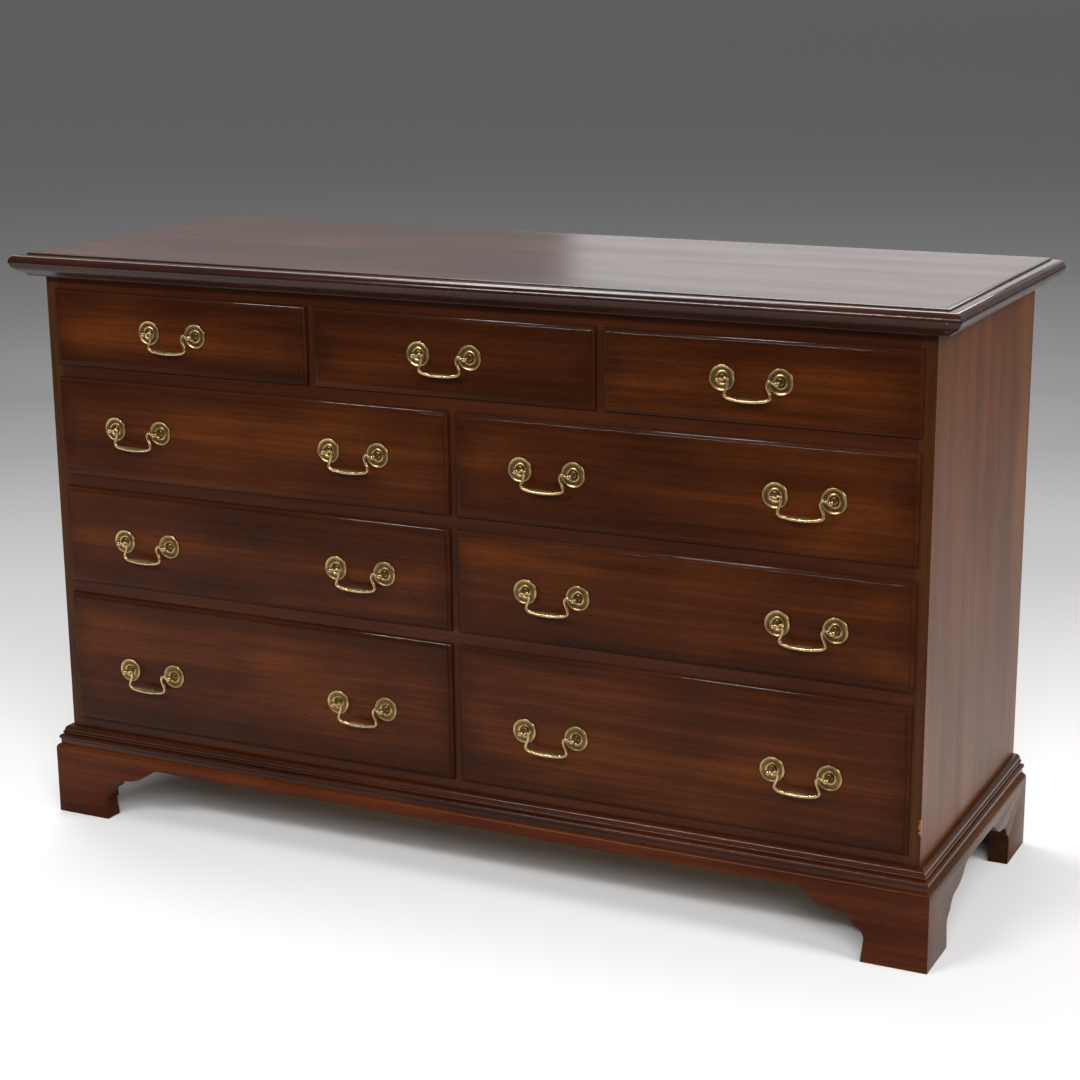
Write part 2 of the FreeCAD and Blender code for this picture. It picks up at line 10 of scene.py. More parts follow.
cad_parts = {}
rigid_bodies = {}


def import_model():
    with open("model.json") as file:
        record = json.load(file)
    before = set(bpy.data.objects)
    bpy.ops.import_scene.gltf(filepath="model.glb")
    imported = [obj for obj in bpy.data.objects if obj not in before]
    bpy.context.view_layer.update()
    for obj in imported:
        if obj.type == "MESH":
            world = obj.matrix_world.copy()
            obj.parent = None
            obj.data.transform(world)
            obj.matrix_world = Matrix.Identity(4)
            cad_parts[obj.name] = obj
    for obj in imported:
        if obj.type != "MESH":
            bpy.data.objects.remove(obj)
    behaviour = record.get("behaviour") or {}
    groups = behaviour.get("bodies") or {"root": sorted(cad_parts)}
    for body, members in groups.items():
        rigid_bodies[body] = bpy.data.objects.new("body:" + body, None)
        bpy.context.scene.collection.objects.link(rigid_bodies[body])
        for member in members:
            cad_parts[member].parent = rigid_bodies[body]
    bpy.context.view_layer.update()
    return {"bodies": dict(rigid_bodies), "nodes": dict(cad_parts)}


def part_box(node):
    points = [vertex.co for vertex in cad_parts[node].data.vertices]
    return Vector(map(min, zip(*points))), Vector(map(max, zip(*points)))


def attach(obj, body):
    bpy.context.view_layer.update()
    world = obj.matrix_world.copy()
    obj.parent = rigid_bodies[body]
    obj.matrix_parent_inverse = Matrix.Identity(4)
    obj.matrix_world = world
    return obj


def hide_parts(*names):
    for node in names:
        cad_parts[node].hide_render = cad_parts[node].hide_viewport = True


MM = 0.001

# millimetres: the pulls, and how far each row's sit above and to the right of its drawers' middles
PULL_SPACING = 76.2
WIDE_PULL_OFFSET = 175.5
PULL_RISES = {"bottom": -9.0, "third": -1.0, "second": 3.5, "top": 2.5}
PULL_SHIFTS = {"bottom": -1.6, "third": 1.5, "second": -4.4, "top": -7.4}
PIVOT_STANDOFF = 14.5

# millimetres: the case, its plinth, and what stands proud of them
CASE_HALF, CASE_FRONT, CASE_BACK = 650.0, -217.0, 240.0
PLINTH_HALF, PLINTH_FRONT, PLINTH_THICKNESS = 670.0, -237.0, 28.0
LIP_PROUD = 7.0
TOP_OVERHANG = 37.0

# metres: corners nearer than this are one; and the step between two boards' grain numbers
WELD = 0.00001
BOARD_STEP = 1.37

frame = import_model()


# ------------------------------------------------------------------ materials

def ink(code):
    """An sRGB hex colour as linear red, green, blue and alpha."""
    parts = [int(code[i:i + 2], 16) / 255 for i in (1, 3, 5)]
    return (*[p / 12.92 if p <= 0.04045 else ((p + 0.055) / 1.055) ** 2.4 for p in parts], 1.0)


def add(tree, kind, settings=None, **sockets):
    """Adds a node. A socket is named by its label with _ for spaces, or by in0, in1 and so on; a
    node given as its value is linked from its colour or first output. A ramp's stops are (place,
    colour)."""
    node = tree.nodes.new(kind)
    settings = dict(settings or {})
    stops = settings.pop("stops", ())
    for key, value in settings.items():
        setattr(node, key, value)
    for _ in stops[2:]:
        node.color_ramp.elements.new(0.5)
    for index, (place, colour) in enumerate(stops):
        node.color_ramp.elements[index].position = place
        shade = ink(colour) if isinstance(colour, str) else (colour, colour, colour, 1.0)
        node.color_ramp.elements[index].color = shade
    for key, value in sockets.items():
        label = int(key[2:]) if key[2:].isdigit() else key.replace("_", " ")
        socket = node.inputs[label]
        if isinstance(value, bpy.types.Node):
            value = value.outputs[2 if value.bl_idname == "ShaderNodeMix" else 0]
        if isinstance(value, bpy.types.NodeSocket):
            tree.links.new(value, socket)
        else:
            socket.default_value = value
    return node


# settings that many nodes share
TIMES_PLUS = {"operation": "MULTIPLY_ADD"}
BLEND = {"data_type": "RGBA"}
DARKEN = {"data_type": "RGBA", "blend_type": "MULTIPLY"}


def facing(tree, axis):
    """How far a surface faces along one axis of its object, from -1 to 1."""
    normal = add(tree, "ShaderNodeTexCoord").outputs["Normal"]
    return add(tree, "ShaderNodeSeparateXYZ", Vector=normal).outputs[axis]


def fresh_material(name):
    """An empty material and its node tree."""
    material = bpy.data.materials.new(name)
    material.use_nodes = True
    material.node_tree.nodes.clear()
    return material, material.node_tree


def grain_space(tree, turn):
    """Object coordinates turned so that X runs along the grain, shifted for each board."""
    place = add(tree, "ShaderNodeTexCoord").outputs["Object"]
    along = add(tree, "ShaderNodeMapping", Vector=place, Rotation=turn)
    board = add(tree, "ShaderNodeAttribute", {"attribute_name": "board"}).outputs["Fac"]
    jump = add(tree, "ShaderNodeCombineXYZ", X=board, Y=board, Z=board)
    return add(tree, "ShaderNodeVectorMath", {"operation": "ADD"}, in0=along, in1=jump)


def stretched_noise(tree, space, length, width, detail=3.0, distortion=0.0):
    """Noise whose patches are about length by width millimetres, longest along the grain."""
    scale = (1000.0 / length, 1000.0 / width, 1000.0 / width)
    lengthened = add(tree, "ShaderNodeVectorMath", {"operation": "MULTIPLY"}, in0=space, in1=scale)
    return add(tree, "ShaderNodeTexNoise", Vector=lengthened, Scale=1.0, Detail=detail,
               Roughness=0.55, Distortion=distortion)


def worn_spots(tree, tone, spots, bare):
    """Small places, as (x, y, z, radius) in millimetres, where the finish is knocked off."""
    place = add(tree, "ShaderNodeTexCoord").outputs["Object"]
    # splinters of about 1.4 mm
    ragged = add(tree, "ShaderNodeTexNoise", Vector=place, Scale=700.0, Detail=2.0)
    for x, y, z, radius in spots:
        centre = (x * MM, y * MM, z * MM)
        away = add(tree, "ShaderNodeVectorMath", {"operation": "DISTANCE"}, in0=place, in1=centre)
        reach = add(tree, "ShaderNodeMath", TIMES_PLUS, in0=ragged, in1=1.2 * radius * MM,
                    in2=away.outputs["Value"])
        across = 2.0 * radius * MM
        edge = add(tree, "ShaderNodeMath", {"operation": "DIVIDE"}, in0=reach, in1=across)
        spot = add(tree, "ShaderNodeValToRGB", {"stops": [(0.72, 1.0), (0.86, 0.0)]}, Fac=edge)
        tone = add(tree, "ShaderNodeMix", BLEND, in0=spot, in6=tone, in7=ink(bare))
    return tone


# the turn that brings the axis along which a board's grain runs onto X
TURNS = {"x": (0.0, 0.0, 0.0), "y": (0.0, 0.0, math.radians(90)), "z": (0.0, math.radians(90), 0.0)}

# the lacquer's index of refraction where a rubbed piece isn't polished
DULL_IOR = 1.15


def stained_mahogany(name, grain, deep, middle, light, sheen, ior, shaded=0.0, spots=(),
                     bare="#8a7a66", forward_face_shade=0.0, rubbed=False):
    """Mahogany stained red brown under satin lacquer: long soft streaks, ribbon bands and fine open
    pores, and a gloss that wanders a little. A shaded piece was darkened by the finisher along its
    edges; spots are knocks that show bare wood. Faces that look forward can be darkened: a side
    panel's front edge to the rails' tone, and the plinth feet's ends under the chest as painted
    shade. A rubbed piece is polished bright on its upper side, where cloths reach, and dull
    elsewhere."""
    material, tree = fresh_material(name)
    space = grain_space(tree, TURNS[grain])
    bands = stretched_noise(tree, space, 900.0, 42.0, 2.0, 0.4)
    streaks = stretched_noise(tree, space, 260.0, 6.5, 4.0, 0.2)
    fine = stretched_noise(tree, space, 70.0, 1.7, 2.0)
    cloud = stretched_noise(tree, space, 240.0, 150.0, 2.0)
    # each layer's weight in the figure; the start brings their sum's average to the middle tone
    figure = -0.485
    for layer, weight in ((streaks, 0.5), (bands, 0.7), (fine, 0.2), (cloud, 0.6)):
        figure = add(tree, "ShaderNodeMath", TIMES_PLUS, in0=layer, in1=weight, in2=figure)
    tone = add(tree, "ShaderNodeValToRGB", {"stops": [(0.14, deep), (0.5, middle), (0.9, light)]},
               Fac=figure)
    # pores: dark dashes about 13 mm long, drawn 0.9 mm wide so that they still show
    pores = stretched_noise(tree, space, 13.0, 0.9, 1.0)
    dash = add(tree, "ShaderNodeValToRGB", {"stops": [(0.30, 0.66), (0.42, 1.0)]}, Fac=pores)
    tone = add(tree, "ShaderNodeMix", DARKEN, in0=1.0, in6=tone, in7=dash)
    if shaded:
        # the attribute is the distance from the field's edge in millimetres
        inside = add(tree, "ShaderNodeAttribute", {"attribute_name": "inside"}).outputs["Fac"]
        ragged = add(tree, "ShaderNodeMath", TIMES_PLUS, in0=cloud, in1=0.62, in2=-0.33)
        ragged = add(tree, "ShaderNodeMath", TIMES_PLUS, in0=inside, in1=0.024, in2=ragged)
        shade = add(tree, "ShaderNodeValToRGB", {"stops": [(0.0, 1.0 - shaded), (1.0, 1.0)]},
                    Fac=ragged)
        tone = add(tree, "ShaderNodeMix", DARKEN, in0=1.0, in6=tone, in7=shade)
    if forward_face_shade:
        # faces that look forward are darkened: a side panel's front edge to the rails' tone, and,
        # as painted shade, the plinth feet's ends under the chest
        forward = add(tree, "ShaderNodeMath", {"operation": "MULTIPLY"}, in0=facing(tree, "Y"),
                      in1=-1.0)
        shade = add(tree, "ShaderNodeValToRGB", {"stops": [(0.4, 1.0), (0.8, 1.0 - forward_face_shade)]},
                    Fac=forward)
        tone = add(tree, "ShaderNodeMix", DARKEN, in0=1.0, in6=tone, in7=shade)
    if spots:
        tone = worn_spots(tree, tone, spots, bare)
    gloss = stretched_noise(tree, space, 400.0, 60.0, 3.0)
    rough = add(tree, "ShaderNodeMath", TIMES_PLUS, in0=gloss, in1=0.16, in2=sheen - 0.08)
    index = ior
    if rubbed:
        polish = add(tree, "ShaderNodeValToRGB", {"stops": [(0.05, 0.0), (0.3, 1.0)]},
                     Fac=facing(tree, "Z"))
        rough = add(tree, "ShaderNodeMath", TIMES_PLUS, in0=polish, in1=-0.24, in2=rough)
        index = add(tree, "ShaderNodeMath", TIMES_PLUS, in0=polish, in1=ior - DULL_IOR,
                    in2=DULL_IOR)
    height = add(tree, "ShaderNodeMath", TIMES_PLUS, in0=pores, in1=0.4, in2=streaks)
    bump = add(tree, "ShaderNodeBump", Strength=0.10, Distance=0.0006, Height=height)
    shader = add(tree, "ShaderNodeBsdfPrincipled", Base_Color=tone, Roughness=rough, IOR=index,
                 Normal=bump)
    add(tree, "ShaderNodeOutputMaterial", Surface=shader)
    return material


def bare_wood(name, grain, light, dark):
    """Planed wood left without finish: brown, matt, with faint long streaks."""
    material, tree = fresh_material(name)
    space = grain_space(tree, TURNS[grain])
    bands = stretched_noise(tree, space, 500.0, 30.0, 3.0, 0.3)
    fine = stretched_noise(tree, space, 60.0, 1.6, 2.0)
    figure = add(tree, "ShaderNodeMath", TIMES_PLUS, in0=fine, in1=0.4, in2=-0.2)
    figure = add(tree, "ShaderNodeMath", {"operation": "ADD"}, in0=figure, in1=bands)
    tone = add(tree, "ShaderNodeValToRGB", {"stops": [(0.25, dark), (0.75, light)]}, Fac=figure)
    bump = add(tree, "ShaderNodeBump", Strength=0.15, Distance=0.0004, Height=fine)
    shader = add(tree, "ShaderNodeBsdfPrincipled", Base_Color=tone, Roughness=0.62, IOR=1.5,
                 Normal=bump)
    add(tree, "ShaderNodeOutputMaterial", Surface=shader)
    return material


def aged_brass(name):
    """Cast brass gone olive brown in its hollows, and paler where hands rub it."""
    material, tree = fresh_material(name)
    place = add(tree, "ShaderNodeTexCoord").outputs["Object"]
    # patches of tarnish about 6 mm across
    mottle = add(tree, "ShaderNodeTexNoise", Vector=place, Scale=160.0, Detail=3.0)
    hollow = add(tree, "ShaderNodeAttribute", {"attribute_name": "hollow"}).outputs["Fac"]
    tarnish = add(tree, "ShaderNodeMath", TIMES_PLUS, in0=mottle, in1=0.5, in2=-0.2)
    tarnish = add(tree, "ShaderNodeMath", {"operation": "ADD", "use_clamp": True}, in0=tarnish,
                  in1=hollow)
    tone = add(tree, "ShaderNodeValToRGB",
               {"stops": [(0.0, "#d6b886"), (0.45, "#876b3e"), (1.0, "#352512")]}, Fac=tarnish)
    rough = add(tree, "ShaderNodeMath", TIMES_PLUS, in0=tarnish, in1=0.22, in2=0.27)
    bump = add(tree, "ShaderNodeBump", Strength=0.12, Distance=0.0004, Height=mottle)
    shader = add(tree, "ShaderNodeBsdfPrincipled", Base_Color=tone, Metallic=1.0, Roughness=rough,
                 Normal=bump)
    add(tree, "ShaderNodeOutputMaterial", Surface=shader)
    return material


def zinc_plate(name):
    """Zinc-plated steel: pale grey, slightly mottled."""
    material, tree = fresh_material(name)
    place = add(tree, "ShaderNodeTexCoord").outputs["Object"]
    # mottling of about 1.1 mm
    mottle = add(tree, "ShaderNodeTexNoise", Vector=place, Scale=900.0, Detail=2.0)
    tone = add(tree, "ShaderNodeValToRGB", {"stops": [(0.3, "#8e9092"), (0.7, "#b4b5b6")]},
               Fac=mottle)
    shader = add(tree, "ShaderNodeBsdfPrincipled", Base_Color=tone, Metallic=1.0, Roughness=0.38)
    add(tree, "ShaderNodeOutputMaterial", Surface=shader)
    return material


# knocks as (x, y, z, radius) in millimetres: three run together on the right stile, one on the
# nose's corner and one on the plinth's
STILE_KNOCKS = [(651.0, -216.0, 193.0, 3.4), (651.0, -216.0, 186.0, 4.6),
                (651.0, -216.0, 178.0, 4.0)]
NOSE_KNOCKS = [(669.0, -253.0, 824.0, 1.2)]
PLINTH_KNOCKS = [(669.5, -236.5, 104.6, 1.5)]

# name, axis of the grain, three tones from deep to light, roughness and index of refraction
front_wood = stained_mahogany("drawer_front_mahogany", "x", "#271006", "#451f0a", "#6a3513",
                              0.25, 1.20, shaded=0.36)
# the lips: coloured darker than the fields, as painted shade on their sides
lip_painted_shade_wood = stained_mahogany("drawer_lip_mahogany_painted_shade", "x", "#220e06", "#391a0a", "#522912",
                            0.36, 1.55, rubbed=True)
# rails and dividers: coloured darker than the fronts, as painted shade in the narrow gaps between
# the drawers' lips
rail_painted_shade_wood = stained_mahogany("rail_mahogany_painted_shade", "x", "#250f07", "#3d1b0b", "#552a12",
                             0.28, 1.22)
upright_painted_shade_wood = stained_mahogany("upright_mahogany_painted_shade", "z", "#220e07", "#3a1a0b", "#522812",
                                0.30, 1.22)
side_wood = stained_mahogany("side_panel_mahogany", "z", "#3a1d0b", "#5f3416", "#7f4b25",
                             0.33, 1.22, spots=STILE_KNOCKS, bare="#9a6238", forward_face_shade=0.60)
top_wood = stained_mahogany("top_mahogany", "x", "#26110a", "#3f2014", "#5b321e",
                            0.24, 1.34, shaded=0.2)
nose_wood = stained_mahogany("top_nose_mahogany", "x", "#1e0d07", "#2f160d", "#452414",
                             0.18, 1.42, spots=NOSE_KNOCKS)
moulding_wood = stained_mahogany("moulding_mahogany", "x", "#240f07", "#3f1c0c", "#5a2e14",
                                 0.20, 1.32)
# the bed moulding's front and the top's underside: coloured darker, as painted shade under the
# overhang
bed_painted_shade_wood = stained_mahogany("bed_moulding_mahogany_painted_shade", "x", "#1f0d07", "#32170d", "#492614",
                            0.26, 1.32)
moulding_side_wood = stained_mahogany("moulding_side_mahogany", "y", "#2c160b", "#472512",
                                      "#63381c", 0.20, 1.38)
plinth_wood = stained_mahogany("plinth_mahogany", "x", "#280f06", "#461d0a", "#683212",
                               0.26, 1.20, spots=PLINTH_KNOCKS, bare="#d8c4a8")
# its darkened forward faces are painted shade on the rear feet's ends, under the chest
plinth_side_wood = stained_mahogany("plinth_side_mahogany", "y", "#341b0c", "#553016", "#744624",
                                    0.28, 1.18, forward_face_shade=0.7)
drawer_side_wood = bare_wood("drawer_side_poplar", "y", "#a98a5e", "#8b6b42")
cross_wood = bare_wood("cross_grain_poplar", "x", "#a38459", "#85663f")
panel_wood = bare_wood("back_panel_wood", "x", "#8f6f49", "#70522f")
# the glue blocks and the plinth's inner faces: near black, as painted shade under the chest
glue_block_painted_shade_wood = bare_wood("glue_blocks_in_painted_shade", "z", "#3a2415", "#25150b")
brass = aged_brass("aged_brass")
zinc = zinc_plate("zinc_screw")


# ------------------------------------------------------------------ mesh helpers

def made_parts(result, kind):
    """What an operator made, of one kind."""
    return [part for part in result["geom"] if isinstance(part, kind)]


def outline(bm, corners):
    """A closed loop of edges through corners."""
    verts = [bm.verts.new(Vector(corner) * MM) for corner in corners]
    return [bm.edges.new((verts[i - 1], verts[i])) for i in range(len(verts))]


def carried_on(bm, edges, move):
    """Extrudes a loop of edges and puts each new corner where move, in millimetres, says."""
    made = bmesh.ops.extrude_edge_only(bm, edges=edges)
    corners = made_parts(made, bmesh.types.BMVert)
    for corner in corners:
        corner.co = Vector(move(corner.co / MM)) * MM
    fresh = set(corners)
    return [edge for edge in made_parts(made, bmesh.types.BMEdge) if fresh.issuperset(edge.verts)]


def closed(bm, edges):
    """Fills a loop with one face."""
    return bmesh.ops.contextual_create(bm, geom=edges)["faces"]


def flat_field(bm, loop, inside, depths, ring):
    """Fills a loop with rings and a face in the first material. Each ring lies where ring(depth)
    moves it and is tagged with its depth inside the field's edge."""
    around = set(bm.faces)
    for depth in depths:
        loop = carried_on(bm, loop, ring(depth))
        for edge in loop:
            for vert in edge.verts:
                vert[inside] = depth
    closed(bm, loop)
    for face in set(bm.faces) - around:
        face.material_index = 0


def curve(centre_out, centre_level, radius, first, last, steps):
    """(out, level) corners along a part of a circle, from one angle in degrees to another."""
    turns = [math.radians(first + (last - first) * i / steps) for i in range(steps + 1)]
    return [(centre_out + radius * math.cos(t), centre_level + radius * math.sin(t)) for t in turns]


def board(bm, low, high, arris=0.6, segments=2):
    """A planed board between two corners, in millimetres, with its arrises eased."""
    made = bmesh.ops.create_cube(bm, size=1.0)
    centre = (Vector(low) + Vector(high)) / 2 * MM
    size = (Vector(high) - Vector(low)) * MM
    bmesh.ops.scale(bm, vec=size, verts=made["verts"])
    bmesh.ops.translate(bm, vec=centre, verts=made["verts"])
    edges = list({edge for vert in made["verts"] for edge in vert.link_edges})
    bmesh.ops.bevel(bm, geom=edges, offset=arris * MM, segments=segments, affect="EDGES",
                    profile=0.5, material=-1)


def board_tags(bm, start):
    """Gives every loose board its own number, so that its grain differs from its neighbours'."""
    layer = bm.verts.layers.float.new("board")
    waiting = set(bm.verts)
    number = start
    while waiting:
        first = min(waiting, key=lambda v: v.index)
        group = {first}
        queue = [first]
        while queue:
            for edge in queue.pop().link_edges:
                for vert in edge.verts:
                    if vert not in group:
                        group.add(vert)
                        queue.append(vert)
        for vert in group:
            vert[layer] = number
        waiting -= group
        number += BOARD_STEP


def piece(name, bm, body, materials, nodes, crease=32.0, tag=0.0):
    """Turns a bmesh into a piece that rides a body and replaces its CAD nodes."""
    bm.verts.index_update()
    board_tags(bm, tag)
    bmesh.ops.recalc_face_normals(bm, faces=bm.faces)
    mesh = bpy.data.meshes.new(name)
    bm.to_mesh(mesh)
    bm.free()
    mesh.shade_smooth()
    mesh.set_sharp_from_angle(angle=math.radians(crease))
    for material in materials:
        mesh.materials.append(material)
    thing = bpy.data.objects.new(name, mesh)
    bpy.context.scene.collection.objects.link(thing)
    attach(thing, body)
    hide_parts(*nodes)


def node_box(node):
    """A CAD node's box as two corners in millimetres."""
    low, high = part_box(node)
    return Vector(low) / MM, Vector(high) / MM


# ------------------------------------------------------------------ drawers

def lipped_front(name, tag):
    """A drawer front: a plug behind, a thumbnail lip all round, a small step and a flat field."""
    low, high = node_box(name + "_front")
    plug_back, field = high.y, low.y
    lip_back = field + LIP_PROUD - 0.3
    field_edge = 5.8
    middle = (low + high) / 2
    half = (high - low) / 2
    bm = bmesh.new()
    inside = bm.verts.layers.float.new("inside")

    def at(out, level):
        def move(corner):
            x = middle.x + math.copysign(half.x + out, corner.x - middle.x)
            z = middle.z + math.copysign(half.z + out, corner.z - middle.z)
            return (x, level, z)
        return move

    profile = [(-6.5, plug_back), (-6.5, lip_back), (-0.25, lip_back), (0.0, lip_back - 0.15)]
    profile += curve(-5.3, field + 6.5, 5.3, 0, -90, 6)
    profile += [(-5.35, field + 0.6), (-5.5, field + 0.15), (-field_edge, field)]
    plug_x, plug_z = half.x - 7.1, half.z - 7.1
    loop = outline(bm, [(middle.x + x, plug_back, middle.z + z) for x, z in (
        (-plug_x, -plug_z), (plug_x, -plug_z), (plug_x, plug_z), (-plug_x, plug_z))])
    closed(bm, loop)
    for out, level in profile:
        loop = carried_on(bm, loop, at(out, level))
    # the lip takes the second, darker colour: painted shade
    for face in bm.faces:
        face.material_index = 1
    flat_field(bm, loop, inside, (3.0, 8.0, 15.0, 24.0, 36.0),
               lambda depth: at(-field_edge - depth, field))
    piece(name + "_lipped_front", bm, name, [front_wood, lip_painted_shade_wood],
          [name + "_front"], tag=tag)


def drawer_box(name, tag):
    """Two sides with dovetails at the front, a back and a bottom, all eased by hand."""
    low, high = node_box(name + "_box")
    plug = node_box(name + "_front")[1].y
    thick, sheet, groove, drop = 12.0, 6.0, 6.0, 6.0
    bottom = low.z + 9.0
    bm = bmesh.new()
    for left, right in ((low.x, low.x + thick), (high.x - thick, high.x)):
        board(bm, (left, plug, low.z), (right, high.y, high.z), 1.5, 3)
    board(bm, (low.x + thick, high.y - thick, bottom + sheet),
          (high.x - thick, high.y, high.z - drop), 1.0)
    board(bm, (low.x + groove, plug - groove, bottom),
          (high.x - groove, high.y, bottom + sheet), 0.3, 1)
    # tails that run into the front's ends, about 34 mm apart, a hair proud so that they show
    count = max(2, round((high.z - low.z) / 34.0))
    pitch = (high.z - low.z - 6.0) / count
    for end, outward in ((low.x, -1.0), (high.x, 1.0)):
        for i in range(count):
            centre = low.z + 3.0 + (i + 0.5) * pitch
            narrow, wide = pitch * 0.18, pitch * 0.31
            root, tip = plug + 1.0, plug - 11.0
            tail = ((root, -narrow), (tip, -wide), (tip, wide), (root, narrow))
            loop = outline(bm, [(end - outward * 4.0, y, centre + z) for y, z in tail])
            closed(bm, loop)
            skin = end + outward * 0.12
            closed(bm, carried_on(bm, loop, lambda corner: (skin, corner.y, corner.z)))
    piece(name + "_dovetailed_box", bm, name, [drawer_side_wood], [name + "_box"],
          tag=tag + 0.31)


def turned_piece(bm, profile, x, y, z, steps, hollows):
    """Spins (radius, distance in front of y) corners about a line along Y. What lies less than
    hollows in front of y is tagged as a hollow."""
    hollow = bm.verts.layers.float["hollow"]
    before = set(bm.verts)
    verts = [bm.verts.new(Vector((x + r, y - h, z)) * MM) for r, h in profile]
    edges = [bm.edges.new(pair) for pair in zip(verts, verts[1:])]
    bmesh.ops.spin(bm, geom=verts + edges, cent=Vector((x, y, z)) * MM, axis=(0, 1, 0),
                   angle=math.radians(360), steps=steps, use_merge=True)
    bmesh.ops.remove_doubles(bm, verts=[v for v in bm.verts if v not in before], dist=WELD)
    for vert in bm.verts:
        if vert not in before:
            height = y - vert.co.y / MM
            vert[hollow] = min(1.0, max(0.0, (hollows - height) / 1.1))


# (radius, distance in front of the drawer's field) from the bore round the dished plate and back
ROSETTE = [(2.3, 0.0), (17.0, 0.0), (17.0, 0.9), (16.85, 1.6), (16.4, 2.05), (15.9, 2.2),
           (15.4, 2.0), (14.8, 1.65), (13.6, 1.35), (12.0, 1.15), (10.4, 1.15), (9.3, 1.35),
           (8.6, 1.75), (8.1, 1.95), (7.5, 1.85), (6.9, 1.45), (6.1, 1.0), (5.2, 0.8),
           (4.6, 0.95), (4.2, 1.4), (3.8, 1.6), (2.3, 1.6), (2.3, 0.0)]


def pull_places(name):
    """The centres of a drawer's pulls, as x and z in millimetres."""
    low, high = node_box(name + "_front")
    row = name.split("_")[1]
    height = (low.z + high.z) / 2 + PULL_RISES[row]
    middle = (low.x + high.x) / 2 + PULL_SHIFTS[row]
    if row == "top":
        return [(middle, height)]
    return [(middle - WIDE_PULL_OFFSET, height), (middle + WIDE_PULL_OFFSET, height)]


def pull_fittings(name):
    """Rosettes, drilled posts and nuts for a drawer's pulls."""
    low, high = node_box(name + "_front")
    bolt_end = low.y - high.y - 5.5
    nut_across, nut_depth = 5.2, 3.5
    post = [(0.0, bolt_end), (1.6, bolt_end), (2.0, bolt_end + 0.5), (2.0, 1.5), (3.4, 1.6),
            (3.6, 2.2), (3.2, 3.0), (2.6, 4.4), (2.3, 6.6), (2.4, 8.8), (2.9, 10.4)]
    post += curve(0.0, PIVOT_STANDOFF, 4.2, -40, 90, 8)
    bm = bmesh.new()
    bm.verts.layers.float.new("hollow")
    for centre, height in pull_places(name):
        for side in (-1, 1):
            x = centre + side * PULL_SPACING / 2
            turned_piece(bm, ROSETTE, x, low.y, height, steps=44, hollows=1.75)
            turned_piece(bm, post, x, low.y, height, steps=20, hollows=4.0)
            nut = bmesh.ops.create_cone(bm, cap_ends=True, segments=6, radius1=nut_across * MM,
                                        radius2=nut_across * MM, depth=nut_depth * MM)
            seat = Matrix.Translation(Vector((x, high.y + nut_depth / 2, height)) * MM)
            seat = seat @ Matrix.Rotation(math.radians(90), 4, "X")
            bmesh.ops.transform(bm, matrix=seat, verts=nut["verts"])
    piece(name + "_pull_fittings", bm, name, [brass], [name + "_fittings"],
          crease=40)


# a bail's half, from its pin to the middle of its grip: inwards from the post, up, and radius
SWAN_NECK = [(-3.0, 0.0, 1.75), (3.4, 0.0, 1.75), (5.8, 0.5, 1.8), (7.5, 2.0, 1.85),
             (9.6, 2.7, 1.85), (11.6, 1.6, 1.95), (12.6, -1.0, 2.05), (12.4, -4.4, 2.0),
             (11.2, -8.2, 1.9), (9.6, -12.0, 1.85), (8.3, -15.4, 1.9), (8.2, -18.2, 2.0),
             (9.9, -20.7, 2.15), (13.6, -22.4, 2.4), (18.6, -23.2, 2.75), (24.6, -23.6, 3.15),
             (31.0, -23.8, 3.5), (38.1, -23.9, 3.6)]

# the flat that thumbs have rubbed on a grip: which way it faces; how far below the pins the grip's
# middle lies, and how far below them the flat may start; its half length, and how much of that is
# fully flat; how far the bar may stand out from its own middle, how fast this grows past the full
# flat, and how much of the rest is rubbed off
FLAT_FACING = Vector((0.0, -0.7, 0.714))
GRIP_DROP, FLAT_DROP = 23.85, 18.0
FLAT_HALF, FULL_HALF = 24.0, 12.0
FLAT_REACH, FLAT_TAPER, FLAT_SHARE = 1.9, 0.16, 0.8


def swan_neck_bail(body, x, z, y):
    """A bail: one round bar, thin at its pins and necks, full in the middle of its grip, and
    flatter there on its upper front, where thumbs have rubbed it."""
    half = [(a - PULL_SPACING / 2, b, r) for a, b, r in SWAN_NECK]
    whole = half + [(-a, b, r) for a, b, r in reversed(half[:-1])]
    line = bpy.data.curves.new(body + "_bar", "CURVE")
    line.dimensions = "3D"
    line.bevel_depth = MM
    line.bevel_resolution = 5
    line.resolution_u = 4
    line.use_fill_caps = True
    spline = line.splines.new("BEZIER")
    spline.bezier_points.add(len(whole) - 1)
    for point, (a, b, r) in zip(spline.bezier_points, whole):
        point.co = Vector((x + a, y, z + b)) * MM
        point.radius = r
        point.handle_left_type = "AUTO"
        point.handle_right_type = "AUTO"
    holder = bpy.data.objects.new(body + "_bar", line)
    bpy.context.scene.collection.objects.link(holder)
    bpy.context.view_layer.update()
    graph = bpy.context.evaluated_depsgraph_get()
    drawn = bpy.data.meshes.new_from_object(holder.evaluated_get(graph))
    bpy.data.objects.remove(holder)
    bm = bmesh.new()
    bm.from_mesh(drawn)
    bmesh.ops.remove_doubles(bm, verts=bm.verts, dist=WELD)
    for vert in bm.verts:
        along = abs(vert.co.x / MM - x)
        middle = Vector((vert.co.x, y * MM, (z - GRIP_DROP) * MM))
        rise = (vert.co - middle).dot(FLAT_FACING) / MM
        allowed = FLAT_REACH + max(0.0, along - FULL_HALF) * FLAT_TAPER
        if along < FLAT_HALF and vert.co.z < (z - FLAT_DROP) * MM and rise > allowed:
            vert.co -= FLAT_FACING * (rise - allowed) * FLAT_SHARE * MM
    bm.verts.layers.float.new("hollow")
    piece(body + "_swan_neck", bm, body, [brass], [body], crease=50)


# ------------------------------------------------------------------ case

